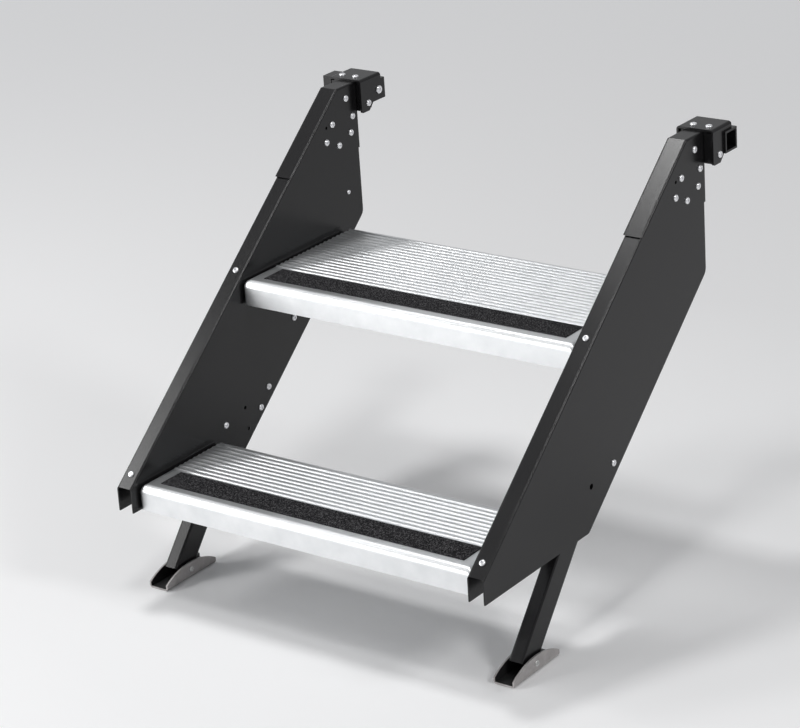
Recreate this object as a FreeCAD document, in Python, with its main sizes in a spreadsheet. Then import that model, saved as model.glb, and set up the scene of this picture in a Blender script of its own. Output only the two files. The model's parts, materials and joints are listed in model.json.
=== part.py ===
import FreeCAD, Part
import math
import os
import re
import Sketcher

os.makedirs("parts", exist_ok=True)
doc = FreeCAD.newDocument("entry_step")

# The origin is on the hinge line, midway between the two sides.
# +X runs along the treads, +Y towards the vehicle and +Z up.
# The lower tread's top front corner (the lower nose) is the other reference point.
SIZES = [
    # treads
    ("nose_y", -576.5, "lower nose, from the hinge line"),
    ("nose_z", -398.6, "lower nose, from the hinge line"),
    ("tread_length", 545.6, "length of both treads"),
    ("tread_rise", 211, "from the lower tread's top to the upper's"),
    ("tread_run", 251, "from the lower nose to the upper nose"),
    ("upper_depth", 244, "front to back"),
    ("lower_depth", 174, "front to back"),
    ("nose_height", 36, "height of the folded tread"),
    ("nose_round", 10, "outer bend of the nose"),
    ("tread_round", 5, "outer bend of the tread's corners"),
    ("tread_wall", 2.5, "sheet of the treads"),
    ("strip_back", 18.5, "nose to grit strip"),
    ("strip_width", 42, "grit strip"),
    ("strip_margin", 24, "grit strip's end to the tread's end"),
    ("strip_thick", 0.9, "grit strip"),
    ("rib_pitch", 10, "rib to rib"),
    ("rib_width", 6.4, "at the root"),
    ("rib_height", 1.5, "above the deck"),
    ("rib_lead", 7.6, "grit strip to the first rib"),
    ("rib_margin", 8, "rib's end to the tread's end"),
    ("rib_rear_upper", 1, "plain margin behind the last rib, at least"),
    ("rib_rear_lower", 12, "plain margin behind the last rib, at least"),
    ("bracket_thick", 2.2, "tread end bracket"),
    ("bracket_inset", 7, "tread end bracket, in from the tread's outline"),
    ("tread_screw_a", 60, "nose to the front tread screw"),
    ("tread_screw_b", 140, "nose to the rear tread screw"),
    ("tread_screw_low", 21, "tread top to the tread screws"),
    ("tread_screw_end", 3, "tread screw's end beyond the side plate"),
    # stringers
    ("sheet", 2, "sheet of stringers and caps"),
    ("stringer_width", 25.4, "outside"),
    ("bend", 3, "outer bend of the folded channels"),
    ("web_ahead", 10, "front web ahead of the lower nose"),
    ("web_rise", 83, "slope of the front web"),
    ("web_run", 100, "slope of the front web"),
    ("plate_front", 13, "front edge of the side plates ahead of the nose"),
    ("plate_low", 37.4, "bottom edge of the side plates below the nose"),
    ("plate_heel", 226, "bottom rear corner behind the nose"),
    ("rear_gap", 39.5, "hinge line to the upright rear edge"),
    ("rear_corner", 176.2, "hinge line down to the rear corner"),
    ("corner_round", 14, "rear corner of the side plates"),
    ("heel_round", 8, "bottom rear corner of the side plates"),
    ("overcut", 5, "cutting shapes beyond what they cut"),
    # top caps
    ("cap_top", 21, "cap's top above the hinge line"),
    ("cap_low", 77, "cap's lower edge below the hinge line"),
    ("tongue_rear", 17.5, "hinge line to the end of the cap's tongue"),
    ("rivet_radius", 2.9, "rivet shank"),
    ("rivet_head", 4.8, "rivet head's radius"),
    ("rivet_dome", 2.6, "rivet head's height"),
    ("hole_play", 0.05, "radial play round a fixed shank"),
    ("dome_round", 0.75, "rounding of a head's rim, as a share of the head's height"),
    ("spare_radius", 2.3, "spare hole in cap and stringer"),
    ("stay_y", -70.6, "small screw, from the hinge line"),
    ("stay_z", -136.5, "small screw, from the hinge line"),
    ("stay_radius", 1.9, "small screw's shank"),
    ("stay_head", 3.2, "small screw's head"),
    ("stay_dome", 1.6, "small screw's head, height"),
    ("stay_end", 6, "small screw's end beyond the inner plate"),
    # saddles, mount tubes and jamb blocks
    ("saddle_in", 13, "saddle inside the stringer's inner face"),
    ("saddle_out", 17.6, "saddle outside the stringer's outer face"),
    ("saddle_sheet", 3, "sheet of the saddles"),
    ("saddle_bend", 4.5, "outer bend of the saddles"),
    ("saddle_front", 42, "hinge line to the saddle's front edge"),
    ("saddle_back", 6.5, "hinge line to the saddle's rear edge"),
    ("saddle_low", 25, "hinge line down to the flange's bottom"),
    ("flange_cut", 9, "chamfer at the flange's lower rear corner"),
    ("tube_side", 30, "mount tube, outside"),
    ("tube_wall", 3, "mount tube"),
    ("tube_reach", 3, "mount tube beyond the saddle's outer face"),
    ("cross_y", -26, "saddle's cross bolt"),
    ("cross_z", -13, "saddle's cross bolt"),
    ("cross_radius", 3.5, "saddle's cross bolt"),
    ("saddle_corner", 3, "front lower corner of the saddle's flanges"),
    ("spacer_play", 1, "saddle spacer to the cap"),
    ("spacer_low", 2, "saddle spacer above the flange's bottom"),
    ("spacer_inset", 1, "spacer's ear behind the flange's front edge"),
    ("top_bolt_y", -28.5, "top bolts"),
    ("top_bolt_gap", 23.6, "top bolt to top bolt"),
    ("top_bolt_shift", 4.5, "top bolts' middle outside the stringer's middle"),
    ("top_bolt_radius", 2.9, "top bolt shank"),
    ("top_bolt_depth", 8, "top bolt shank below the cap's tongue"),
    ("top_bolt_relief", 1, "bore of the spacer below the top bolt"),
    ("pivot_radius", 4, "pivot bolt shank"),
    ("pivot_head", 6, "pivot bolt head's radius"),
    ("pivot_stand", 0.3, "pivot bolt's head off the mount tube"),
    ("pivot_play", 0.08, "running play of the pivot bolt in the mount tube"),
    ("jamb_play", 0.5, "between the jamb block and the mount tube"),
    ("jamb_inset", 1, "left jamb block's faces inside the tube's faces"),
    ("jamb_grip", 16, "length of pivot bolt in the jamb block"),
    ("jamb_recess", 14, "right jamb block inside the tube's mouth"),
    ("jamb_reach", 30, "left jamb block beyond the tube's mouth"),
    ("jamb_hole", 3.4, "jamb screw's hole, radius"),
    ("jamb_depth", 22, "jamb screw's hole"),
    # legs and guides, measured from the foot pivot along and across the leg
    ("foot_y", 87.3, "foot pivot behind the lower nose"),
    ("foot_z", 162, "foot pivot below the lower nose"),
    ("leg_lean", 49.7, "degrees from the ground"),
    ("leg_depth", 36, "tube, across its wide side"),
    ("leg_rear", 10.4, "foot pivot to the leg's rear face"),
    ("leg_wall", 2, "tube"),
    ("leg_play", 0.3, "leg to side plates and guides"),
    ("leg_end", 9.5, "foot pivot to the leg's end"),
    ("leg_top", 380, "foot pivot to the leg's top"),
    ("leg_round", 3, "corner of the leg tube"),
    ("lock_along", 238.9, "foot pivot to the lock hole"),
    ("lock_radius", 4, "lock holes of leg and outer plate"),
    ("peep_radius", 2.6, "small holes of the inner plate"),
    ("lock_pitch", 25, "lock hole to lock hole"),
    ("lock_count", 5, "holes in each leg"),
    ("guide_thick", 21.5, "rear guide bar, across the leg"),
    ("guide_from", 205, "rear guide bar's lower end"),
    ("guide_slant", 21, "slope of the bar's lower end"),
    ("guide_to", 404, "rear guide bar's upper end"),
    ("guide_bolt_back", 15.5, "leg's rear face to the guide bolts"),
    ("guide_bolt_a", 251.7, "lowest guide bolt"),
    ("guide_bolt_b", 283.5, "second guide bolt"),
    ("guide_bolt_c", 389.7, "top guide bolt"),
    ("block_thick", 17, "front guide block, across the leg"),
    ("block_along", 202.4, "front guide block's bolt"),
    ("block_length", 30, "front guide block"),
    ("block_bolt_ahead", 9.3, "leg's front face to the block's bolt"),
    ("spare_along", 215.9, "second spare hole"),
    ("spare_back", 6.1, "leg's rear face to the second spare hole"),
    ("bolt_radius", 2.9, "guide bolt shank"),
    ("bolt_head", 4.6, "guide bolt head's radius"),
    ("bolt_dome", 2.4, "guide bolt head's height"),
    # feet
    ("foot_width", 32, "outside"),
    ("foot_sheet", 2.6, "sheet of the feet"),
    ("foot_length", 105, "front to back"),
    ("foot_peak", 23, "height at the middle"),
    ("foot_tip", 8.5, "height at the ends"),
    ("foot_pivot_up", 12.4, "ground to the pivot"),
    ("foot_bend", 4, "outer bend of the feet"),
    ("pin_radius", 3, "foot pivot pin"),
    ("pin_head", 4.2, "foot pivot pin's head"),
    ("pin_play", 0.08, "running play of the foot on its pin"),
    ("washer_radius", 7, "spacer washer between leg and foot"),
    ("washer_play", 0.15, "washer to foot"),
    # front screws, measured along the web from its lower end
    ("web_screw_a", 21.9, "lower front screw"),
    ("web_screw_b", 350.7, "upper front screw"),
    ("web_screw_radius", 2.4, "front screw's shank"),
    ("web_screw_head", 4.4, "front screw's head"),
    ("web_screw_end", 5, "front screw's end beyond the web"),
    ("socket_size", 0.44, "socket's corner radius as a share of the head's"),
    ("socket_floor", 0.35, "socket's floor as a share of the head's height"),
]

# cap rivets, from the hinge line: y and z
RIVETS = [("a", -64.7, 2.7), ("b", -52, -26.9), ("c", -100, -26.3), ("d", -58.1, -49.9),
          ("e", -115.6, -48.9), ("f", -87, -61.2)]
SPARE = ("spare", -113.4, -28)
for tag, y, z in RIVETS + [SPARE]:
    SIZES += [(f"rivet_{tag}_y", y, "cap rivet"), (f"rivet_{tag}_z", z, "cap rivet")]

sheet = doc.addObject("Spreadsheet::Sheet", "Sizes")
for row, (alias, value, note) in enumerate(SIZES, 1):
    sheet.set(f"A{row}", alias)
    sheet.set(f"B{row}", str(value))
    sheet.set(f"C{row}", note)
    sheet.setAlias(f"B{row}", alias)
VALUE = {alias: value for alias, value, note in SIZES}
doc.recompute()

# Lengths that several pieces share, as formulas of the sizes
DERIVED = {
    "x_in": "(tread_length / 2 + bracket_thick)",
    "x_mid": "(x_in + stringer_width / 2)",
    "x_out": "(x_in + stringer_width)",
    "low_z": "(nose_z - plate_low)",
    "web_foot_y": "(nose_y - plate_front)",
    "web_foot_z": "(nose_z - (plate_front - web_ahead) * web_rise / web_run)",
    "web_long": "(sqrt(web_rise * web_rise + web_run * web_run))",
    "web_through": "(sheet * web_long / web_rise)",
    "saddle_x": "(x_in - saddle_in)",
    "saddle_end": "(x_out + saddle_out)",
    "saddle_top": "(cap_top + saddle_sheet)",
    "tongue_end": "(x_mid + top_bolt_shift + top_bolt_gap / 2 + rivet_head)",
    "tube_half": "(tube_side / 2)",
    "tube_end": "(saddle_end + tube_reach)",
    "bush_radius": "(tube_half - tube_wall - jamb_play)",
    "bush_start": "(saddle_x + tube_wall + jamb_play)",
    "pin_y": "(nose_y + foot_y)",
    "pin_z": "(nose_z - foot_z)",
    "leg_width": "(stringer_width - 2 * sheet - 2 * leg_play)",
    "leg_front": "(leg_depth - leg_rear)",
    "leg_x": "(x_in + sheet + leg_play)",
    "foot_x": "(x_mid - foot_width / 2)",
    "ground_z": "(pin_z - foot_pivot_up)",
}


def formula(text):
    """The formula with every size written out as a cell of the sheet."""
    for _ in range(6):
        text = re.sub(r"[a-z_]+", lambda w: DERIVED.get(w.group(), w.group()), text)
    return re.sub(r"[a-z_]+", lambda w: f"Sizes.{w.group()}" if w.group() in VALUE else w.group(), text)


def web_y(z_text, shift="0"):
    """How far back the front web's outer face is at a height."""
    return f"(web_foot_y + ({z_text} - web_foot_z) * web_run / web_rise - {shift})"


def on_leg(along, across):
    """A point given along and across the leg, as (y, z)."""
    return (f"(pin_y + ({along}) * cos(leg_lean) + ({across}) * sin(leg_lean))",
            f"(pin_z + ({along}) * sin(leg_lean) - ({across}) * cos(leg_lean))")


BODIES = {}


def new_body(name, lean=None, at=("0", "0", "0")):
    """A body; lean tips it about X by a formula in degrees, at a point."""
    body = doc.addObject("PartDesign::Body", name)
    body.Label = name
    if lean:
        body.Placement = FreeCAD.Placement(
            FreeCAD.Vector(), FreeCAD.Rotation(FreeCAD.Vector(1, 0, 0), 10))
        body.setExpression("Placement.Rotation.Angle", formula(lean))
    for axis, text in zip("xyz", at):
        if text != "0":
            body.setExpression(f"Placement.Base.{axis}", formula(text))
    BODIES[name] = body
    return body


def plane_of(body, role):
    for feature in body.Origin.OriginFeatures:
        if feature.Role == role:
            return feature


def new_sketch(body, name, plane, start):
    """A sketch on one of the body's planes, moved along the plane's normal by a formula."""
    sketch = body.newObject("Sketcher::SketchObject", name)
    sketch.AttachmentSupport = [(plane_of(body, plane), "")]
    sketch.MapMode = "FlatFace"
    sketch.setExpression("AttachmentOffset.Base.z", formula(start))
    return sketch


def fix_point(sketch, item, end, x_text, y_text):
    for kind, text in (("DistanceX", x_text), ("DistanceY", y_text)):
        number = sketch.addConstraint(Sketcher.Constraint(kind, -1, 1, item, end, 1.0))
        sketch.setExpression(f"Constraints[{number}]", formula(text))


def add_polygon(sketch, points):
    """A closed polygon whose corners are formulas."""
    count, first = len(points), sketch.GeometryCount
    ring = [FreeCAD.Vector(50 * math.cos(2 * math.pi * k / count), 50 * math.sin(2 * math.pi * k / count), 0)
            for k in range(count)]
    for k in range(count):
        sketch.addGeometry(Part.LineSegment(ring[k], ring[(k + 1) % count]))
    for k in range(count):
        sketch.addConstraint(Sketcher.Constraint("Coincident", first + k, 2, first + (k + 1) % count, 1))
    for k, (x_text, y_text) in enumerate(points):
        fix_point(sketch, first + k, 1, x_text, y_text)


def add_arch(sketch, y0, y1, low, tip, radius):
    """A flat-bottomed outline with upright ends and an arched top."""
    corners = [(y0, low), (y1, low), (y1, tip), (y0, tip)]
    loose = [FreeCAD.Vector(-40, 0, 0), FreeCAD.Vector(40, 0, 0), FreeCAD.Vector(40, 20, 0),
             FreeCAD.Vector(-40, 20, 0)]
    for k in range(2):
        sketch.addGeometry(Part.LineSegment(loose[k], loose[k + 1]))
    sketch.addGeometry(Part.Arc(loose[2], FreeCAD.Vector(0, 35, 0), loose[3]))
    sketch.addGeometry(Part.LineSegment(loose[3], loose[0]))
    sketch.addConstraint(Sketcher.Constraint("Coincident", 0, 2, 1, 1))
    sketch.addConstraint(Sketcher.Constraint("Coincident", 1, 2, 2, 1))
    sketch.addConstraint(Sketcher.Constraint("Coincident", 2, 2, 3, 1))
    sketch.addConstraint(Sketcher.Constraint("Coincident", 3, 2, 0, 1))
    for item, (y_text, z_text) in zip((0, 1, 2, 3), corners):
        fix_point(sketch, item, 1, y_text, z_text)
    number = sketch.addConstraint(Sketcher.Constraint("Radius", 2, 60.0))
    sketch.setExpression(f"Constraints[{number}]", formula(radius))


def add_circles(sketch, centres, radius):
    for x_text, y_text in centres:
        item = sketch.addGeometry(Part.Circle(FreeCAD.Vector(10, 10, 0), FreeCAD.Vector(0, 0, 1), 3))
        number = sketch.addConstraint(Sketcher.Constraint("Radius", item, 3.0))
        sketch.setExpression(f"Constraints[{number}]", formula(radius))
        fix_point(sketch, item, 3, x_text, y_text)


def add_feature(body, kind, sketch, length):
    """A pad or a pocket that runs from its sketch along the plane's normal."""
    before = body.Shape.Volume if body.Tip else 0.0
    feature = body.newObject(f"PartDesign::{kind}", f"{sketch.Name}_{kind}")
    feature.Profile = sketch
    feature.setExpression("Length", formula(length))
    if kind == "Pocket":
        feature.Reversed = True
    doc.recompute()
    grew = body.Shape.Volume - before
    if (kind == "Pad") != (grew > 1e-6) or abs(grew) < 1e-6:
        raise RuntimeError(f"{body.Name}: {feature.Name} changed the volume by {grew}")
    return feature


def polygon_part(body, kind, name, plane, start, length, points):
    sketch = new_sketch(body, name, plane, start)
    add_polygon(sketch, points)
    add_feature(body, kind, sketch, length)
    return sketch


def circle_part(body, kind, name, plane, start, length, centres, radius):
    sketch = new_sketch(body, name, plane, start)
    add_circles(sketch, centres, radius)
    add_feature(body, kind, sketch, length)
    return sketch


def span(side, near, far):
    """Start and length of an X range on one side; the left side mirrors the right."""
    return (near if side > 0 else f"(-({far}))"), f"(({far}) - ({near}))"


def box_points(y0, z0, y1, z1):
    return [(y0, z0), (y1, z0), (y1, z1), (y0, z1)]


def round_edges(body, name, radius, chosen):
    """Fillets the body's edges for which chosen(edge) is true."""
    tip = body.Tip
    edges = [f"Edge{k}" for k, edge in enumerate(tip.Shape.Edges, 1) if chosen(edge)]
    if not edges:
        raise RuntimeError(f"{body.Name}: {name} finds no edge")
    feature = body.newObject("PartDesign::Fillet", name)
    feature.Base = (tip, edges)
    feature.setExpression("Radius", formula(radius))
    doc.recompute()
    if feature.State and ("Invalid" in feature.State or "Error" in feature.State):
        raise RuntimeError(f"{body.Name}: {name} fails")
    return feature


def along_x(edge):
    """True for a straight edge parallel to X."""
    if not isinstance(edge.Curve, (Part.Line, Part.LineSegment)):
        return False
    way = edge.Vertexes[-1].Point - edge.Vertexes[0].Point
    return way.Length > 1e-6 and abs(abs(way.x) - way.Length) < 1e-6


def corner_test(sketch, indices):
    """Chooses edges along X that stand on some corners of a sketch in the YZ plane."""
    spots = [sketch.Geometry[k].StartPoint for k in indices]

    def chosen(edge):
        if not along_x(edge):
            return False
        p = edge.Vertexes[0].Point
        return any(math.hypot(p.y - s.x, p.z - s.y) < 1e-4 for s in spots)
    return chosen


def fasteners(name, side, centres, face, grip, radius, head, dome, far_head=False, facing=1):
    """Round-headed fasteners along X. face is where the head sits, grip is the shank's length.

    facing 1 puts the head on the side away from the middle of the step, -1 towards it.
    """
    body = new_body(name)
    if facing > 0:
        shank, top, other = (f"({face} - ({grip}))", face), (face, f"({face} + {dome})"), (
            f"({face} - ({grip}) - {dome})", f"({face} - ({grip}))")
    else:
        shank, top, other = (face, f"({face} + ({grip}))"), (f"({face} - {dome})", face), (
            f"({face} + ({grip}))", f"({face} + ({grip}) + {dome})")
    circle_part(body, "Pad", f"{name}_shank", "YZ_Plane", *span(side, *shank), centres, radius)
    circle_part(body, "Pad", f"{name}_head", "YZ_Plane", *span(side, *top), centres, head)
    if far_head:
        circle_part(body, "Pad", f"{name}_far", "YZ_Plane", *span(side, *other), centres, head)
    dome_edges(body, head, dome)
    seats = [(f"({face} + {dome} * socket_floor)", f"({face} + {dome})") if facing > 0 else
             (f"({face} - {dome})", f"({face} - {dome} * socket_floor)")]
    if far_head:
        seats.append((other[0], f"({other[1]} - {dome} * socket_floor)") if facing > 0 else
                     (f"({other[0]} + {dome} * socket_floor)", other[1]))
    for k, seat in enumerate(seats):
        cut_sockets(body, f"{name}_socket_{k}", "YZ_Plane", *span(side, *seat), centres, head)
    return body


def cut_sockets(body, name, plane, start, length, centres, head):
    """Hexagonal sockets in the fasteners' heads."""
    sketch = new_sketch(body, name, plane, start)
    for x_text, y_text in centres:
        add_polygon(sketch, [(f"({x_text} + {head} * socket_size * {math.cos(math.pi * k / 3):.5f})",
                              f"({y_text} + {head} * socket_size * {math.sin(math.pi * k / 3):.5f})")
                             for k in range(6)])
    add_feature(body, "Pocket", sketch, length)


def dome_edges(body, head, dome):
    """Rounds the outer rim of every head, leaving the rim that sits on the plate sharp."""
    shape = body.Tip.Shape

    def is_outer(edge):
        if not isinstance(edge.Curve, Part.Circle) or abs(edge.Curve.Radius - float(sheet.get(head))) > 1e-6:
            return False
        centre, axis = edge.Curve.Center, edge.Curve.Axis
        inside = [shape.isInside(centre + axis * way * 0.2, 1e-6, False) for way in (1, -1)]
        return not all(inside)
    round_edges(body, f"{body.Name}_dome", f"({dome} * dome_round)", is_outer)


SIDES = [("l", -1), ("r", 1)]

for tag, side in SIDES:
    # Stringer: a folded channel, open at the rear and underneath
    body = new_body(f"stringer_{tag}")
    top_z = "(cap_top - sheet)"
    outline = [
        ("web_foot_y", "low_z"),
        ("web_foot_y", "web_foot_z"),
        (web_y(top_z), top_z),
        ("(-rear_gap)", top_z),
        ("(-rear_gap)", "(-rear_corner)"),
        ("(nose_y + plate_heel)", "low_z"),
    ]
    sketch = polygon_part(body, "Pad", f"stringer_{tag}_outline", "YZ_Plane",
                *span(side, "x_in", "x_out"), outline)
    round_edges(body, f"stringer_{tag}_corner", "corner_round", corner_test(sketch, [4]))
    round_edges(body, f"stringer_{tag}_heel", "heel_round", corner_test(sketch, [5]))
    foot_point = sketch.Geometry[1].StartPoint
    head_point = sketch.Geometry[2].StartPoint

    def on_bend(edge, a=foot_point, b=head_point):
        ends = [v.Point for v in edge.Vertexes]
        if len(ends) != 2 or along_x(edge):
            return False
        return all(min(math.hypot(p.y - q.x, p.z - q.y) for q in (a, b)) < 1e-3 for p in ends)
    round_edges(body, f"stringer_{tag}_bend", "bend", on_bend)
    beyond = "(corner_round + overcut)"
    polygon_part(body, "Pocket", f"stringer_{tag}_inside", "YZ_Plane",
                 *span(side, "(x_in + sheet)", "(x_out - sheet)"), [
                     (f"(web_foot_y - {beyond})", f"(low_z - {beyond})"),
                     (f"(web_foot_y - {beyond})", "web_foot_z"),
                     ("(web_foot_y + web_through)", "web_foot_z"),
                     (web_y(f"(cap_top + {beyond})", "(-web_through)"), f"(cap_top + {beyond})"),
                     (f"(-rear_gap + {beyond})", f"(cap_top + {beyond})"),
                     (f"(-rear_gap + {beyond})", f"(low_z - {beyond})"),
                 ])
    rivets = [(f"rivet_{k}_y", f"rivet_{k}_z") for k, y, z in RIVETS]
    circle_part(body, "Pocket", f"stringer_{tag}_rivet_holes", "YZ_Plane", *span(side, "x_in", "x_out"),
                rivets, "(rivet_radius + hole_play)")
    circle_part(body, "Pocket", f"stringer_{tag}_spare", "YZ_Plane", *span(side, "x_in", "x_out"),
                [("rivet_spare_y", "rivet_spare_z")], "spare_radius")
    circle_part(body, "Pocket", f"stringer_{tag}_stay_hole", "YZ_Plane",
                *span(side, "x_in", "(x_in + sheet)"),
                [("stay_y", "stay_z")], "(stay_radius + hole_play)")
    rear_bolts = [on_leg(f"guide_bolt_{k}", "(leg_rear + guide_bolt_back)") for k in "abc"]
    block_bolt = on_leg("block_along", "(-leg_front - block_bolt_ahead)")
    circle_part(body, "Pocket", f"stringer_{tag}_guide_holes", "YZ_Plane",
                *span(side, "x_in", "(x_in + sheet)"),
                rear_bolts + [block_bolt], "(bolt_radius + hole_play)")
    circle_part(body, "Pocket", f"stringer_{tag}_through_hole", "YZ_Plane",
                *span(side, "(x_out - sheet)", "x_out"), [rear_bolts[1]], "(bolt_radius + hole_play)")
    lock = on_leg("lock_along", "((leg_rear - leg_front) / 2)")
    circle_part(body, "Pocket", f"stringer_{tag}_lock_hole", "YZ_Plane",
                *span(side, "(x_out - sheet)", "x_out"),
                [lock], "lock_radius")
    circle_part(body, "Pocket", f"stringer_{tag}_peep_holes", "YZ_Plane",
                *span(side, "x_in", "(x_in + sheet)"),
                [lock, on_leg("spare_along", "(leg_rear + spare_back)")], "peep_radius")
    screws = {}
    for level, y0, z0 in (("lower", "nose_y", "nose_z"),
                          ("upper", "(nose_y + tread_run)", "(nose_z + tread_rise)")):
        screws[level] = [(f"({y0} + tread_screw_{k})", f"({z0} - tread_screw_low)") for k in "ab"]
    circle_part(body, "Pocket", f"stringer_{tag}_tread_holes", "YZ_Plane",
                *span(side, "x_in", "(x_in + sheet)"),
                screws["lower"] + screws["upper"], "(rivet_radius + hole_play)")

    # Top cap: a folded cover with a tongue that runs back under the saddle
    body = new_body(f"top_cap_{tag}")
    cap_x = span(side, "(x_in - sheet)", "(x_out + sheet)")
    sketch = polygon_part(body, "Pad", f"top_cap_{tag}_outline", "YZ_Plane", *cap_x, [
        (web_y("(-cap_low)", "web_through"), "(-cap_low)"),
        (web_y("cap_top", "web_through"), "cap_top"),
        ("(-rear_gap)", "cap_top"),
        ("(-rear_gap)", "(-cap_low)"),
    ])
    polygon_part(body, "Pocket", f"top_cap_{tag}_inside", "YZ_Plane", *span(side, "x_in", "x_out"), [
        (web_y(f"(-cap_low - {beyond})"), f"(-cap_low - {beyond})"),
        (web_y("(cap_top - sheet)"), "(cap_top - sheet)"),
        (f"(-rear_gap + {beyond})", "(cap_top - sheet)"),
        (f"(-rear_gap + {beyond})", f"(-cap_low - {beyond})"),
    ])
    low_point, high_point, rear_point = (sketch.Geometry[k].StartPoint for k in (0, 1, 2))

    def on_cap_bend(edge, a=low_point, b=high_point, c=rear_point):
        ends = [v.Point for v in edge.Vertexes]
        if len(ends) != 2 or abs(ends[0].x - ends[1].x) > 1e-6:
            return False
        outer = {abs(p.x) for p in ends}
        flat = [min(math.hypot(p.y - q.x, p.z - q.y) for q in (a, b, c)) < 1e-3 for p in ends]
        wide = [abs(v - float(limit)) < 1e-4 for v in outer for limit in cap_limits]
        upright = abs(ends[0].y - ends[1].y) < 1e-6
        level_low = abs(ends[0].z - ends[1].z) < 1e-6 and abs(ends[0].z - a.y) < 1e-4
        return all(flat) and any(wide) and not upright and not level_low
    cap_limits = (body.Shape.BoundBox.XMin * side, body.Shape.BoundBox.XMax * side)
    round_edges(body, f"top_cap_{tag}_bend", "bend", on_cap_bend)
    polygon_part(body, "Pad", f"top_cap_{tag}_tongue", "YZ_Plane",
                *span(side, "(x_in + sheet)", "tongue_end"),
                 box_points("(-rear_gap - sheet)", "(cap_top - sheet)", "(-tongue_rear)", "cap_top"))
    circle_part(body, "Pocket", f"top_cap_{tag}_rivet_holes", "YZ_Plane", *cap_x, rivets,
                "(rivet_radius + hole_play)")
    circle_part(body, "Pocket", f"top_cap_{tag}_spare", "YZ_Plane", *cap_x,
                [("rivet_spare_y", "rivet_spare_z")], "spare_radius")
    top_bolts = [(f"({side} * (x_mid + top_bolt_shift {sign} top_bolt_gap / 2))", "top_bolt_y")
                 for sign in "-+"]
    circle_part(body, "Pocket", f"top_cap_{tag}_bolt_holes", "XY_Plane", "(cap_top - sheet - overcut)",
                "(sheet + 2 * overcut)",
                top_bolts, "(top_bolt_radius + hole_play)")

    # Saddle: an inverted channel over the cap's tongue, notched at the rear for the mount tube
    body = new_body(f"saddle_{tag}")
    sketch = polygon_part(body, "Pad", f"saddle_{tag}_outline", "YZ_Plane",
                          *span(side, "saddle_x", "saddle_end"), [
                              ("(-saddle_front)", "(-saddle_low)"),
                              ("(-tube_half - flange_cut)", "(-saddle_low)"),
                              ("(-tube_half)", "(-saddle_low + flange_cut)"),
                              ("(-tube_half)", "tube_half"),
                              ("saddle_back", "tube_half"),
                              ("saddle_back", "saddle_top"),
                              ("(-saddle_front)", "saddle_top"),
                          ])
    polygon_part(body, "Pocket", f"saddle_{tag}_inside", "YZ_Plane",
                 *span(side, "(saddle_x + saddle_sheet)", "(saddle_end - saddle_sheet)"),
                 box_points(f"(-saddle_front - {beyond})", f"(-saddle_low - {beyond})",
                            f"(saddle_back + {beyond})", "cap_top"))
    top_level = sketch.Geometry[5].StartPoint.y
    limits = (body.Shape.BoundBox.XMin, body.Shape.BoundBox.XMax)

    def on_saddle_bend(edge):
        ends = [v.Point for v in edge.Vertexes]
        return (len(ends) == 2 and all(abs(p.z - top_level) < 1e-4 for p in ends)
                and abs(ends[0].x - ends[1].x) < 1e-6 and any(abs(ends[0].x - v) < 1e-4 for v in limits))
    round_edges(body, f"saddle_{tag}_bend", "saddle_bend", on_saddle_bend)
    round_edges(body, f"saddle_{tag}_corner", "saddle_corner", corner_test(sketch, [0]))
    circle_part(body, "Pocket", f"saddle_{tag}_bolt_holes", "XY_Plane", "(cap_top - overcut)",
                "(saddle_sheet + 2 * overcut)",
                top_bolts, "(top_bolt_radius + hole_play)")
    circle_part(body, "Pocket", f"saddle_{tag}_cross_holes", "YZ_Plane",
                *span(side, "saddle_x", "saddle_end"),
                [("cross_y", "cross_z")], "(cross_radius + hole_play)")

    # Top bolts: they clamp the cap's tongue under the saddle
    body = new_body(f"top_bolts_{tag}")
    circle_part(body, "Pad", f"top_bolts_{tag}_shank", "XY_Plane", "(cap_top - sheet - top_bolt_depth)",
                "(sheet + top_bolt_depth + saddle_sheet)", top_bolts, "top_bolt_radius")
    circle_part(body, "Pad", f"top_bolts_{tag}_head", "XY_Plane", "saddle_top", "rivet_dome", top_bolts,
                "rivet_head")
    dome_edges(body, "rivet_head", "rivet_dome")
    cut_sockets(body, f"top_bolts_{tag}_socket", "XY_Plane", "(saddle_top + rivet_dome * socket_floor)",
                "(rivet_dome * (1 - socket_floor))", top_bolts, "rivet_head")

    # Cross bolt, and the spacer block that it clamps between the saddle's flanges
    fasteners(f"cross_bolt_{tag}", side, [("cross_y", "cross_z")], "saddle_end", "(saddle_end - saddle_x)",
              "cross_radius", "rivet_head", "rivet_dome", far_head=True)
    body = new_body(f"saddle_spacer_{tag}")
    low = "(-saddle_low + spacer_low)"
    polygon_part(body, "Pad", f"saddle_spacer_{tag}_block", "YZ_Plane",
                 *span(side, "(saddle_x + saddle_sheet)", "(saddle_end - saddle_sheet)"),
                 box_points("(-rear_gap + spacer_play)", low, "(-tube_half)", "(cap_top - sheet)"))
    polygon_part(body, "Pad", f"saddle_spacer_{tag}_ear", "YZ_Plane",
                 *span(side, "(x_out + sheet + spacer_play)", "(saddle_end - saddle_sheet)"),
                 box_points("(-saddle_front + spacer_inset)", low, "(-tube_half)", "(cap_top - sheet)"))
    circle_part(body, "Pocket", f"saddle_spacer_{tag}_bore", "YZ_Plane",
                *span(side, "saddle_x", "saddle_end"),
                [("cross_y", "cross_z")], "(cross_radius + hole_play)")
    circle_part(body, "Pocket", f"saddle_spacer_{tag}_bolt_holes", "XY_Plane",
                "(cap_top - sheet - top_bolt_depth - top_bolt_relief)",
                "(top_bolt_depth + top_bolt_relief + overcut)", top_bolts,
                "(top_bolt_radius + hole_play)")

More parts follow.
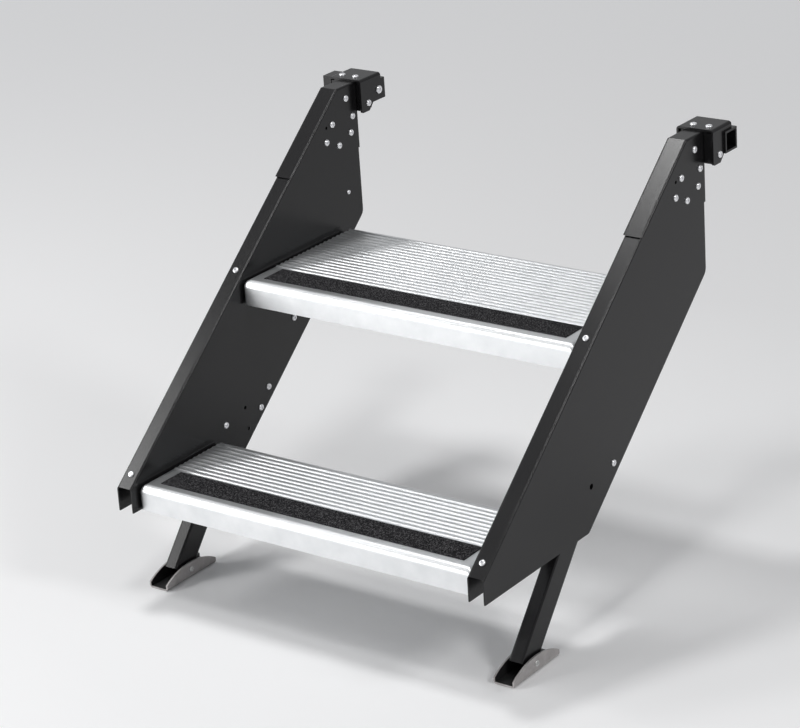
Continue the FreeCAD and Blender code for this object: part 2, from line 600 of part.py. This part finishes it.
    # Mount tube: square, closed on the inner side and open on the outer
    body = new_body(f"mount_tube_{tag}")
    polygon_part(body, "Pad", f"mount_tube_{tag}_outside", "YZ_Plane", *span(side, "saddle_x", "tube_end"),
                 box_points("(-tube_half)", "(-tube_half)", "tube_half", "tube_half"))
    inner_half = "(tube_half - tube_wall)"
    polygon_part(body, "Pocket", f"mount_tube_{tag}_inside", "YZ_Plane",
                 *span(side, "(saddle_x + tube_wall)", "tube_end"),
                 box_points(f"(-{inner_half})", f"(-{inner_half})", inner_half, inner_half))
    circle_part(body, "Pocket", f"mount_tube_{tag}_pivot_hole", "YZ_Plane",
                *span(side, "saddle_x", "(saddle_x + tube_wall)"), [("0", "0")],
                "(pivot_radius + pivot_play)")

    # Jamb block: the round bush that the mount tube turns on; it stays with the vehicle
    body = new_body(f"jamb_block_{tag}")
    bush_end = "(tube_end + jamb_play)" if side < 0 else "(tube_end - jamb_recess)"
    far_end = "(tube_end + jamb_reach)" if side < 0 else bush_end
    circle_part(body, "Pad", f"jamb_block_{tag}_bush", "YZ_Plane", *span(side, "bush_start", bush_end),
                [("0", "0")], "bush_radius")
    if side < 0:
        block_half = "(tube_half - jamb_inset)"
        polygon_part(body, "Pad", f"jamb_block_{tag}_end", "YZ_Plane", *span(side, bush_end, far_end),
                     box_points(f"(-{block_half})", f"(-{block_half})", block_half, block_half))
    circle_part(body, "Pocket", f"jamb_block_{tag}_pivot_hole", "YZ_Plane",
                *span(side, "bush_start", "(bush_start + jamb_grip)"), [("0", "0")],
                "(pivot_radius + hole_play)")
    circle_part(body, "Pocket", f"jamb_block_{tag}_screw_hole", "YZ_Plane",
                *span(side, f"({far_end} - jamb_depth)", far_end), [("0", "0")], "jamb_hole")

    # Pivot bolt, with its head on the inner side
    fasteners(f"pivot_bolt_{tag}", side, [("0", "0")], "(saddle_x - pivot_stand)",
              "(pivot_stand + tube_wall + jamb_play + jamb_grip)", "pivot_radius", "pivot_head", "rivet_dome",
              facing=-1)

    # Rivets through cap and stringer, domed on both faces
    fasteners(f"cap_rivets_{tag}", side, rivets, "(x_out + sheet)", "(stringer_width + 2 * sheet)",
              "rivet_radius", "rivet_head", "rivet_dome", far_head=True)

    # Small screw in the inner plate
    fasteners(f"stay_screw_{tag}", side, [("stay_y", "stay_z")], "x_in", "(sheet + stay_end)",
              "stay_radius", "stay_head", "stay_dome", facing=-1)

    # Leg: a rectangular tube that slides between the side plates
    tilt, at_pin = "(leg_lean - 90)", ("0", "pin_y", "pin_z")
    body = new_body(f"leg_{tag}", tilt, at_pin)
    leg_x = span(side, "leg_x", "(leg_x + leg_width)")
    polygon_part(body, "Pad", f"leg_{tag}_outside", "XY_Plane", "(-leg_end)", "(leg_top + leg_end)", [
        (leg_x[0], "(-leg_front)"), (f"({leg_x[0]} + {leg_x[1]})", "(-leg_front)"),
        (f"({leg_x[0]} + {leg_x[1]})", "leg_rear"), (leg_x[0], "leg_rear")])

    def along_leg(edge):
        ends = [v.Point for v in edge.Vertexes]
        rise = abs((ends[0] - ends[-1]).z)
        return rise > 0 and abs(rise - edge.Length) < 1e-6
    round_edges(body, f"leg_{tag}_corners", "leg_round", along_leg)
    polygon_part(body, "Pocket", f"leg_{tag}_inside", "XY_Plane", "(-leg_end)", "(leg_top + leg_end)", [
        (f"({leg_x[0]} + leg_wall)", "(-leg_front + leg_wall)"),
        (f"({leg_x[0]} + {leg_x[1]} - leg_wall)", "(-leg_front + leg_wall)"),
        (f"({leg_x[0]} + {leg_x[1]} - leg_wall)", "(leg_rear - leg_wall)"),
        (f"({leg_x[0]} + leg_wall)", "(leg_rear - leg_wall)")])
    # the end is cut back round the foot pivot
    sketch = new_sketch(body, f"leg_{tag}_end", "YZ_Plane", leg_x[0])
    reach = "(leg_rear + leg_end)"
    turn = [(math.sin(math.radians(a)), math.cos(math.radians(a))) for a in (0, 22.5, 45, 67.5)]
    add_polygon(sketch, [(f"(leg_end * {p:.4f})", f"(-leg_end * {q:.4f})") for p, q in turn] + [
        ("leg_rear", "0"), (reach, "0"), (reach, f"(-{reach})"), ("0", f"(-{reach})")])
    add_feature(body, "Pocket", sketch, leg_x[1])
    circle_part(body, "Pocket", f"leg_{tag}_pin_hole", "YZ_Plane",
                *leg_x, [("0", "0")], "(pin_radius + hole_play)")
    # one lock hole is below the plate's own, the others are above it
    holes = [("((leg_rear - leg_front) / 2)", f"(lock_along + {k} * lock_pitch)")
             for k in range(-1, int(VALUE["lock_count"]) - 1)]
    circle_part(body, "Pocket", f"leg_{tag}_lock_holes", "YZ_Plane", *leg_x, holes, "lock_radius")

    # Rear guide bar and front guide block, fixed to the stringer, hold the leg square
    gap_x = span(side, "(x_in + sheet)", "(x_out - sheet)")
    body = new_body(f"guide_bar_{tag}", tilt, at_pin)
    polygon_part(body, "Pad", f"guide_bar_{tag}_bar", "YZ_Plane", *gap_x,
                 [("(leg_rear + leg_play)", "guide_from"), ("(leg_rear + guide_thick / 2)", "guide_from"),
                  ("(leg_rear + guide_thick)", "(guide_from + guide_slant)"),
                  ("(leg_rear + guide_thick)", "guide_to"), ("(leg_rear + leg_play)", "guide_to")])
    bar_bolts = [("(leg_rear + guide_bolt_back)", f"guide_bolt_{k}") for k in "abc"]
    circle_part(body, "Pocket", f"guide_bar_{tag}_holes", "YZ_Plane", *gap_x, bar_bolts,
                "(bolt_radius + hole_play)")
    body = new_body(f"guide_block_{tag}", tilt, at_pin)
    polygon_part(body, "Pad", f"guide_block_{tag}_block", "YZ_Plane", *gap_x,
                 box_points("(-leg_front - block_thick)", "(block_along - block_length / 2)",
                            "(-leg_front - leg_play)", "(block_along + block_length / 2)"))
    circle_part(body, "Pocket", f"guide_block_{tag}_hole", "YZ_Plane", *gap_x,
                [("(-leg_front - block_bolt_ahead)", "block_along")], "(bolt_radius + hole_play)")

    # Guide bolts: heads on the inner plate, the middle one also on the outer plate
    fasteners(f"guide_bolts_{tag}", side, [rear_bolts[0], rear_bolts[2], block_bolt], "x_in",
              "(stringer_width - sheet)", "bolt_radius", "bolt_head", "bolt_dome", facing=-1)
    fasteners(f"through_bolt_{tag}", side, [rear_bolts[1]], "x_in", "stringer_width",
              "bolt_radius", "bolt_head", "bolt_dome", far_head=True, facing=-1)

    # Foot: a folded channel with arched sides, on a pin through the leg
    body = new_body(f"foot_{tag}")
    foot_span = span(side, "foot_x", "(foot_x + foot_width)")
    sketch = new_sketch(body, f"foot_{tag}_outline", "YZ_Plane", foot_span[0])
    toe, back = "(pin_y - foot_length / 2)", "(pin_y + foot_length / 2)"
    tips = "(ground_z + foot_tip)"
    add_arch(sketch, toe, back, "ground_z", tips,
             "((foot_length * foot_length / 4 / (foot_peak - foot_tip) + foot_peak - foot_tip) / 2)")
    add_feature(body, "Pad", sketch, foot_span[1])
    floor = sketch.Geometry[0].StartPoint.y

    def on_floor(edge):
        ends = [v.Point for v in edge.Vertexes]
        return all(abs(p.z - floor) < 1e-5 for p in ends) and abs(ends[0].x - ends[-1].x) < 1e-6
    round_edges(body, f"foot_{tag}_bend", "foot_bend", on_floor)
    polygon_part(body, "Pocket", f"foot_{tag}_inside", "YZ_Plane",
                 *span(side, "(foot_x + foot_sheet)", "(foot_x + foot_width - foot_sheet)"),
                 box_points(f"({toe} - overcut)", "(ground_z + foot_sheet)",
                            f"({back} + overcut)", "(ground_z + foot_peak + overcut)"))
    circle_part(body, "Pocket", f"foot_{tag}_hole", "YZ_Plane", *foot_span, [("pin_y", "pin_z")],
                "(pin_radius + pin_play)")

    # Foot pin with two domed heads, and the washers that centre the leg in the foot
    fasteners(f"foot_pin_{tag}", side, [("pin_y", "pin_z")], "(foot_x + foot_width + washer_play)",
              "(foot_width + 2 * washer_play)", "pin_radius", "pin_head", "foot_sheet / 2", far_head=True)
    body = new_body(f"foot_washers_{tag}")
    for k, (a, b) in enumerate((("(foot_x + foot_sheet + washer_play)", "leg_x"),
                                ("(leg_x + leg_width)", "(foot_x + foot_width - foot_sheet - washer_play)"))):
        circle_part(body, "Pad", f"foot_washers_{tag}_{k}", "YZ_Plane", *span(side, a, b),
                    [("pin_y", "pin_z")], "washer_radius")
    circle_part(body, "Pocket", f"foot_washers_{tag}_hole", "YZ_Plane",
                *span(side, "foot_x", "(foot_x + foot_width)"), [("pin_y", "pin_z")],
                "(pin_radius + hole_play)")

    # Front screws in the web, square to its face
    body = new_body(f"web_screws_{tag}", "atan(web_rise / web_run)", ("0", "web_foot_y", "web_foot_z"))
    spots = [(f"({side} * x_mid)", f"web_screw_{k}") for k in "ab"]
    circle_part(body, "Pad", f"web_screws_{tag}_shank", "XY_Plane", "(-sheet - web_screw_end)",
                "(sheet + web_screw_end)", spots, "web_screw_radius")
    circle_part(body, "Pad", f"web_screws_{tag}_head", "XY_Plane", "0", "bolt_dome", spots, "web_screw_head")
    dome_edges(body, "web_screw_head", "bolt_dome")
    cut_sockets(body, f"web_screws_{tag}_socket", "XY_Plane", "(bolt_dome * socket_floor)",
                "(bolt_dome * (1 - socket_floor))", spots, "web_screw_head")

# Holes for the front screws are bored square to the sloping web, in each stringer
for tag, side in SIDES:
    body = BODIES[f"stringer_{tag}"]
    sketch = body.newObject("Sketcher::SketchObject", f"stringer_{tag}_screw_holes")
    sketch.AttachmentSupport = [(plane_of(body, "XY_Plane"), "")]
    sketch.MapMode = "FlatFace"
    sketch.AttachmentOffset = FreeCAD.Placement(
        FreeCAD.Vector(), FreeCAD.Rotation(FreeCAD.Vector(1, 0, 0), 10))
    sketch.setExpression("AttachmentOffset.Rotation.Angle", formula("atan(web_rise / web_run)"))
    sketch.setExpression("AttachmentOffset.Base.y", formula("(web_foot_y + sheet * 2 * web_rise / web_long)"))
    sketch.setExpression("AttachmentOffset.Base.z", formula("(web_foot_z - sheet * 2 * web_run / web_long)"))
    add_circles(sketch, [(f"({side} * x_mid)", f"web_screw_{k}") for k in "ab"],
                "(web_screw_radius + hole_play)")
    add_feature(body, "Pocket", sketch, "(3 * sheet)")

# Treads: pressed pans with a rounded nose, a grit strip and ribs
for level, y0, z0, depth, rear_margin in (
    ("lower", "nose_y", "nose_z", "lower_depth", "rib_rear_lower"),
    ("upper", "(nose_y + tread_run)", "(nose_z + tread_rise)", "upper_depth", "rib_rear_upper"),
):
    body = new_body(f"tread_{level}")
    sketch = polygon_part(body, "Pad", f"tread_{level}_block", "YZ_Plane",
                "(-tread_length / 2)", "tread_length",
                          box_points(y0, f"({z0} - nose_height)", f"({y0} + {depth})", z0))

    def upright(edge):
        way = edge.Vertexes[-1].Point - edge.Vertexes[0].Point
        return abs(abs(way.z) - way.Length) < 1e-6
    round_edges(body, f"tread_{level}_corners", "tread_round", upright)
    round_edges(body, f"tread_{level}_nose", "nose_round", corner_test(sketch, [3]))

    # the pan is hollow underneath: the same outline, smaller by the wall
    inside = new_sketch(body, f"tread_{level}_inside", "XY_Plane", f"({z0} - nose_height)")
    half = "(tread_length / 2 - tread_wall)"
    add_polygon(inside, [(f"(-{half})", f"({y0} + nose_round)"), (half, f"({y0} + nose_round)"),
                         (half, f"({y0} + {depth} - tread_wall)"),
                         (f"(-{half})", f"({y0} + {depth} - tread_wall)")])
    add_feature(body, "Pocket", inside, "(nose_height - tread_wall)")
    inside = new_sketch(body, f"tread_{level}_under_nose", "XY_Plane", f"({z0} - nose_height)")
    add_polygon(inside, [(f"(-{half})", f"({y0} + tread_wall)"), (half, f"({y0} + tread_wall)"),
                         (half, f"({y0} + nose_round + overcut)"),
                         (f"(-{half})", f"({y0} + nose_round + overcut)")])
    add_feature(body, "Pocket", inside, "(nose_height - nose_round)")
    # ribs
    sketch = new_sketch(body, f"tread_{level}_rib", "YZ_Plane", "(-tread_length / 2 + rib_margin)")
    lead = "(strip_back + strip_width + rib_lead)"
    middle = f"({y0} + {lead})"
    shape = [(-0.5, -0.2), (-0.5, 0), (-0.38, 0.66), (-0.19, 1),
             (0.19, 1), (0.38, 0.66), (0.5, 0), (0.5, -0.2)]
    add_polygon(sketch, [(f"({middle} + rib_width * {a})", f"({z0} + rib_height * {b})") for a, b in shape])
    rib = add_feature(body, "Pad", sketch, "(tread_length - 2 * rib_margin)")
    rows = body.newObject("PartDesign::LinearPattern", f"tread_{level}_ribs")
    rows.Originals = [rib]
    rows.Direction = (plane_of(body, "Y_Axis"), [""])
    steps = f"floor(({depth} - {rear_margin} - rib_width / 2 - {lead}) / rib_pitch)"
    rows.setExpression("Length", formula(f"(rib_pitch * {steps})"))
    rows.setExpression("Occurrences", formula(f"({steps} + 1)"))
    body.Tip = rows
    doc.recompute()
    spots = [(f"({y0} + tread_screw_{k})", f"({z0} - tread_screw_low)") for k in "ab"]
    for tag, side in SIDES:
        circle_part(body, "Pocket", f"tread_{level}_holes_{tag}", "YZ_Plane",
                    *span(side, "(tread_length / 2 - tread_wall)", "(tread_length / 2)"), spots,
                    "(rivet_radius + hole_play)")

    # Grit strip, stuck to the deck behind the nose
    body = new_body(f"grit_strip_{level}")
    polygon_part(body, "Pad", f"grit_strip_{level}_tape", "YZ_Plane", "(-tread_length / 2 + strip_margin)",
                 "(tread_length - 2 * strip_margin)",
                 box_points(f"({y0} + strip_back)", z0, f"({y0} + strip_back + strip_width)",
                            f"({z0} + strip_thick)"))

    for tag, side in SIDES:
        # Tread end bracket, between the tread and the side plate
        body = new_body(f"tread_bracket_{level}_{tag}")
        where = span(side, "(tread_length / 2)", "x_in")
        polygon_part(body, "Pad", f"tread_bracket_{level}_{tag}_plate", "YZ_Plane", *where, box_points(
            f"({y0} + bracket_inset)", f"({z0} - nose_height + bracket_inset / 2)",
            f"({y0} + {depth} - bracket_inset)", f"({z0} - bracket_inset)"))
        circle_part(body, "Pocket", f"tread_bracket_{level}_{tag}_holes", "YZ_Plane", *where, spots,
                    "(rivet_radius + hole_play)")
        # Screws from inside the pan through the bracket and the plate
        fasteners(f"tread_screws_{level}_{tag}", side, spots, "(tread_length / 2 - tread_wall)",
                  "(tread_wall + bracket_thick + sheet + tread_screw_end)", "rivet_radius", "rivet_head",
                  "rivet_dome", facing=-1)

doc.recompute()
faults = []
for item in doc.Objects:
    if "Invalid" in item.State or "Error" in item.State:
        faults.append(f"{item.Name}: {item.State}")
for name, body in BODIES.items():
    if body.Shape.isNull() or not body.Shape.isValid() or not body.Shape.Solids:
        faults.append(f"{name}: no valid solid")
if faults:
    raise RuntimeError("; ".join(faults))
for name, body in BODIES.items():
    body.Shape.exportStep(f"parts/{name}.step")
    print(name, len(body.Shape.Solids), round(body.Shape.Volume))
print(len(BODIES), "nodes")
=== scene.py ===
import json
import math

import bpy
from mathutils import Matrix, Vector


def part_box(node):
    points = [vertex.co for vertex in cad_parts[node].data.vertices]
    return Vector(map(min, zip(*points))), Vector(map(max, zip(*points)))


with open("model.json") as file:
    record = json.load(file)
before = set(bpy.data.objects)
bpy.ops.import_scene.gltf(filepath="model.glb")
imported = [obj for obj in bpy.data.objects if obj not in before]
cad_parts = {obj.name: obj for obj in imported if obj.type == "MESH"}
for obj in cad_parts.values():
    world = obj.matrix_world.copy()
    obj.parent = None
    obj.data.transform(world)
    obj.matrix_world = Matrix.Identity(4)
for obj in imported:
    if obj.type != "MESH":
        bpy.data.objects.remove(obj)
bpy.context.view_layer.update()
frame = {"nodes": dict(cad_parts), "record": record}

# The photograph's camera, in metres and degrees, found by fitting the treads and rails
CAMERA_AT = Vector((2.1675, -3.1712, 1.1540))
LOOK_ALONG = Vector((-0.5647, 0.7386, -0.3681))
CAMERA_ROLL = -3.9
LENS_MM = 129.1
SENSOR_MM = 36.0

# The feet's sheet, and how far the painted shade of their inside reaches into it, in metres
FOOT_SHEET = 0.0026
SLIVER = 0.0001

# The floor's width and its gap to the feet, in metres
FLOOR_SIZE = 40.0
FLOOR_GAP = 0.0005

# The floor's glow, which keeps its far part pale: it grows from one distance to the other, in metres
GLOW_FROM = 0.8
GLOW_TO = 7.0
GLOW_STRENGTH = 0.66

# The world's strength as a light, and what the eye and the reflections see on top of that
WORLD_LIGHT = 0.24
WORLD_SEEN = 0.18

# The point that the lamps face, and each lamp's name, place and size in metres, and power in watts
LAMPS_FACE = (0.0, -0.25, -0.25)
LAMPS = [
    ("key_high", (-1.0, -0.35, 2.65), (0.5, 0.5), 27.0),
    ("top", (0.35, -1.2, 2.6), (0.5, 0.5), 16.0),
    ("key_low", (-2.35, -1.45, 1.7), (0.7, 0.7), 14.0),
    ("key_leg", (-2.2, -2.1, 1.25), (0.5, 0.5), 5.5),
    ("fill", (2.6, -0.4, 1.75), (0.7, 0.7), 24.0),
    ("back", (-1.6, 2.2, 1.2), (2.4, 1.2), 1.4),
    ("front", (-1.9, -3.0, 0.0), (2.0, 0.9), 46.0),
]


def make_material(name, colour, metallic=0.0, roughness=0.5):
    """A plain principled material; returns it with its node tree and shader."""
    material = bpy.data.materials.new(name)
    material.use_nodes = True
    tree = material.node_tree
    shader = next(n for n in tree.nodes if n.type == "BSDF_PRINCIPLED")
    shader.inputs["Base Color"].default_value = (*colour, 1.0)
    shader.inputs["Metallic"].default_value = metallic
    shader.inputs["Roughness"].default_value = roughness
    return material, tree, shader


def object_coordinates(tree, scale=(1.0, 1.0, 1.0)):
    """Object coordinates in metres, stretched by scale."""
    coordinates = tree.nodes.new("ShaderNodeTexCoord")
    mapping = tree.nodes.new("ShaderNodeMapping")
    mapping.inputs["Scale"].default_value = scale
    tree.links.new(coordinates.outputs["Object"], mapping.inputs["Vector"])
    return mapping.outputs["Vector"]


def add_noise(tree, vector, scale, detail=3.0):
    """Noise from 0 to 1; scale is about how many grains it has in a metre."""
    noise = tree.nodes.new("ShaderNodeTexNoise")
    noise.inputs["Scale"].default_value = scale
    noise.inputs["Detail"].default_value = detail
    tree.links.new(vector, noise.inputs["Vector"])
    return noise.outputs["Fac"]


def add_ramp(tree, factor, low, high):
    """A colour ramp from low to high, each a position and a colour."""
    ramp = tree.nodes.new("ShaderNodeValToRGB")
    for element, (position, colour) in zip(ramp.color_ramp.elements, (low, high)):
        element.position = position
        element.color = (*colour, 1.0)
    tree.links.new(factor, ramp.inputs["Fac"])
    return ramp.outputs["Color"]


def add_range(tree, factor, low, high, start=0.0, end=1.0):
    """Maps a factor from start to end onto low to high."""
    node = tree.nodes.new("ShaderNodeMapRange")
    for socket, value in (("From Min", start), ("From Max", end), ("To Min", low), ("To Max", high)):
        node.inputs[socket].default_value = value
    tree.links.new(factor, node.inputs["Value"])
    return node.outputs["Result"]


def add_math(tree, operation, first, second=None):
    """A math node; each input is a number or another node's output."""
    node = tree.nodes.new("ShaderNodeMath")
    node.operation = operation
    for socket, value in zip(node.inputs, (first, second)):
        if isinstance(value, (int, float)):
            socket.default_value = value
        elif value is not None:
            tree.links.new(value, socket)
    return node.outputs["Value"]


def add_bump(tree, shader, height, distance, strength=1.0):
    """Bumps that follow a height from 0 to 1, distance metres high."""
    bump = tree.nodes.new("ShaderNodeBump")
    bump.inputs["Distance"].default_value = distance
    bump.inputs["Strength"].default_value = strength
    tree.links.new(height, bump.inputs["Height"])
    tree.links.new(bump.outputs["Normal"], shader.inputs["Normal"])


def set_roughness(tree, shader, factor, smoothest, roughest):
    """Lets the roughness follow a factor that runs from 0 to 1."""
    tree.links.new(add_range(tree, factor, smoothest, roughest), shader.inputs["Roughness"])


def powder_coat():
    """Half-matt black with a fine orange peel."""
    material, tree, shader = make_material("black_powder_coat", (0.0085, 0.0082, 0.0088), 0.0, 0.42)
    shader.inputs["Specular IOR Level"].default_value = 0.36
    vector = object_coordinates(tree)
    peel = add_noise(tree, vector, scale=900.0, detail=2.0)
    add_bump(tree, shader, peel, distance=0.00005, strength=0.5)
    set_roughness(tree, shader, add_noise(tree, vector, scale=14.0), 0.22, 0.29)
    return material


def tread_aluminium():
    """Mill finish with streaks along the treads."""
    material, tree, shader = make_material("tread_aluminium", (0.80, 0.81, 0.83), 0.90, 0.32)
    streaks = add_noise(tree, object_coordinates(tree, scale=(3.0, 60.0, 60.0)), scale=6.0, detail=4.0)
    blotches = add_noise(tree, object_coordinates(tree), scale=35.0, detail=4.0)
    colour = add_ramp(tree, blotches, (0.3, (0.72, 0.735, 0.745)), (0.7, (0.80, 0.81, 0.82)))
    tree.links.new(colour, shader.inputs["Base Color"])
    set_roughness(tree, shader, streaks, 0.30, 0.40)
    add_bump(tree, shader, blotches, distance=0.00004, strength=0.2)
    return material


def grit():
    """Black anti-slip tape with lighter grains."""
    material, tree, shader = make_material("grit", (0.012, 0.012, 0.013), 0.0, 0.85)
    shader.inputs["Specular IOR Level"].default_value = 0.08
    grains = add_noise(tree, object_coordinates(tree), scale=620.0, detail=4.0)
    colour = add_ramp(tree, grains, (0.48, (0.006, 0.006, 0.007)), (0.68, (0.115, 0.112, 0.117)))
    tree.links.new(colour, shader.inputs["Base Color"])
    add_bump(tree, shader, grains, distance=0.0006, strength=0.7)
    return material


def bright_steel():
    """Bright fasteners with a slight haze."""
    material, tree, shader = make_material("bright_steel", (0.90, 0.90, 0.92), 0.7, 0.26)
    haze = add_noise(tree, object_coordinates(tree), scale=700.0)
    set_roughness(tree, shader, haze, 0.21, 0.31)
    add_bump(tree, shader, haze, distance=0.00002, strength=0.3)
    return material


def zinc_with_clouds(name, dark, light):
    """Zinc; returns its colour socket too, which clouds from dark to light."""
    material, tree, shader = make_material(name, (0.62, 0.62, 0.61), 1.0, 0.38)
    clouds = add_noise(tree, object_coordinates(tree), scale=90.0, detail=4.0)
    colour = add_ramp(tree, clouds, (0.3, dark), (0.7, light))
    set_roughness(tree, shader, clouds, 0.30, 0.48)
    return material, tree, shader, colour


def zinc_plate():
    """Dull zinc of the foot pins."""
    material, tree, shader, colour = zinc_with_clouds(
        "zinc_plate", dark=(0.50, 0.50, 0.49), light=(0.72, 0.72, 0.71))
    tree.links.new(colour, shader.inputs["Base Color"])
    return material


def foot_zinc_and_painted_shade():
    """Zinc outside, with the inside of the folded channel painted near black as shade."""
    material, tree, shader, zinc = zinc_with_clouds(
        "foot_zinc_and_painted_shade", dark=(0.38, 0.36, 0.355), light=(0.50, 0.48, 0.475))
    # a mask of the channel's inside faces, which get painted shade
    low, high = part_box("foot_r")
    parts = tree.nodes.new("ShaderNodeSeparateXYZ")
    tree.links.new(object_coordinates(tree), parts.inputs["Vector"])
    across = add_math(tree, "ABSOLUTE", parts.outputs["X"])
    painted_shade_mask = add_math(tree, "MULTIPLY",
                      add_math(tree, "GREATER_THAN", across, low.x + FOOT_SHEET - SLIVER),
                      add_math(tree, "LESS_THAN", across, high.x - FOOT_SHEET + SLIVER))
    painted_shade_mask = add_math(tree, "MULTIPLY", painted_shade_mask,
                      add_math(tree, "GREATER_THAN", parts.outputs["Z"], low.z + FOOT_SHEET - SLIVER))
    # a colour mix node has its colours on sockets 6 and 7, and its result on socket 2
    mix = tree.nodes.new("ShaderNodeMix")
    mix.data_type = "RGBA"
    tree.links.new(painted_shade_mask, mix.inputs["Factor"])
    tree.links.new(zinc, mix.inputs[6])
    # painted shade: the inside faces are near black and not metallic, standing in for the shade inside the
    # channel
    mix.inputs[7].default_value = (0.02, 0.02, 0.02, 1.0)
    tree.links.new(mix.outputs[2], shader.inputs["Base Color"])
    tree.links.new(add_range(tree, painted_shade_mask, 0.5, 0.0), shader.inputs["Metallic"])
    return material


def nylon():
    """Black nylon of the guides and washers."""
    material, tree, shader = make_material("black_nylon", (0.012, 0.012, 0.012), 0.0, 0.5)
    haze = add_noise(tree, object_coordinates(tree), scale=350.0)
    set_roughness(tree, shader, haze, 0.42, 0.58)
    add_bump(tree, shader, haze, distance=0.00004, strength=0.4)
    return material


def dress_nodes():
    """Gives every CAD node the material of its slot, and the feet their own."""
    materials = {
        "black_coat": powder_coat(),
        "tread_alu": tread_aluminium(),
        "grit": grit(),
        "bright": bright_steel(),
        "zinc": zinc_plate(),
        "nylon": nylon(),
    }
    foot = foot_zinc_and_painted_shade()
    slot_of = {part["node"]: part["material_slot"] for part in frame["record"]["subparts"]}
    for name, node in frame["nodes"].items():
        node.data.materials.clear()
        node.data.materials.append(foot if name in ("foot_l", "foot_r") else materials[slot_of[name]])


def seen_directly(tree):
    """1 for camera, glossy and transmission rays and 0 for all others."""
    path = tree.nodes.new("ShaderNodeLightPath")
    seen = add_math(tree, "ADD", path.outputs["Is Camera Ray"], path.outputs["Is Glossy Ray"])
    seen = add_math(tree, "ADD", seen, path.outputs["Is Transmission Ray"])
    return add_math(tree, "MINIMUM", seen, 1.0)


def add_floor():
    """A pale floor under the feet; it takes the object's shadow."""
    material, tree, shader = make_material("stage", (0.93, 0.93, 0.935), 0.0, 0.9)
    distance = tree.nodes.new("ShaderNodeVectorMath")
    distance.operation = "LENGTH"
    tree.links.new(object_coordinates(tree), distance.inputs["Vector"])
    glow = add_range(tree, distance.outputs["Value"], 0.0, GLOW_STRENGTH, GLOW_FROM, GLOW_TO)
    shader.inputs["Emission Color"].default_value = (0.97, 0.98, 1.0, 1.0)
    tree.links.new(add_math(tree, "MULTIPLY", glow, seen_directly(tree)), shader.inputs["Emission Strength"])
    floor_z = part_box("foot_l")[0].z
    bpy.ops.mesh.primitive_plane_add(size=FLOOR_SIZE, location=(0, 0, floor_z - FLOOR_GAP))
    floor = bpy.context.object
    floor.name = "stage_floor"
    floor.data.materials.append(material)


def add_world():
    """A pale, even world."""
    world = bpy.data.worlds.new("studio")
    bpy.context.scene.world = world
    world.use_nodes = True
    tree = world.node_tree
    background = next(n for n in tree.nodes if n.type == "BACKGROUND")
    background.inputs["Color"].default_value = (0.9, 0.91, 0.93, 1.0)
    seen = add_math(tree, "MULTIPLY", seen_directly(tree), WORLD_SEEN)
    tree.links.new(add_math(tree, "ADD", WORLD_LIGHT, seen), background.inputs["Strength"])


def add_lamp(name, at, size, power):
    """A rectangular lamp that faces the object."""
    lamp = bpy.data.lights.new(name, "AREA")
    lamp.shape = "RECTANGLE"
    lamp.size, lamp.size_y = size
    lamp.energy = power
    holder = bpy.data.objects.new(name, lamp)
    bpy.context.scene.collection.objects.link(holder)
    holder.location = at
    ahead = Vector(LAMPS_FACE) - Vector(at)
    holder.rotation_euler = ahead.to_track_quat("-Z", "Y").to_euler()


def add_camera():
    """The photograph's camera: place, direction, roll and lens."""
    ahead = LOOK_ALONG.normalized()
    right = ahead.cross(Vector((0, 0, 1))).normalized()
    up = right.cross(ahead)
    roll = math.radians(CAMERA_ROLL)
    tilted_right = right * math.cos(roll) + up * math.sin(roll)
    tilted_up = up * math.cos(roll) - right * math.sin(roll)
    camera = bpy.data.cameras.new("photo_camera")
    camera.lens = LENS_MM
    camera.sensor_width = SENSOR_MM
    holder = bpy.data.objects.new("photo_camera", camera)
    bpy.context.scene.collection.objects.link(holder)
    turn = Matrix((tilted_right, tilted_up, -ahead)).transposed()
    holder.matrix_world = Matrix.Translation(CAMERA_AT) @ turn.to_4x4()
    bpy.context.scene.camera = holder


dress_nodes()
add_floor()
add_world()
for lamp_name, lamp_at, lamp_size, lamp_power in LAMPS:
    add_lamp(lamp_name, lamp_at, lamp_size, lamp_power)
add_camera()
bpy.context.scene.view_settings.view_transform = "Standard"
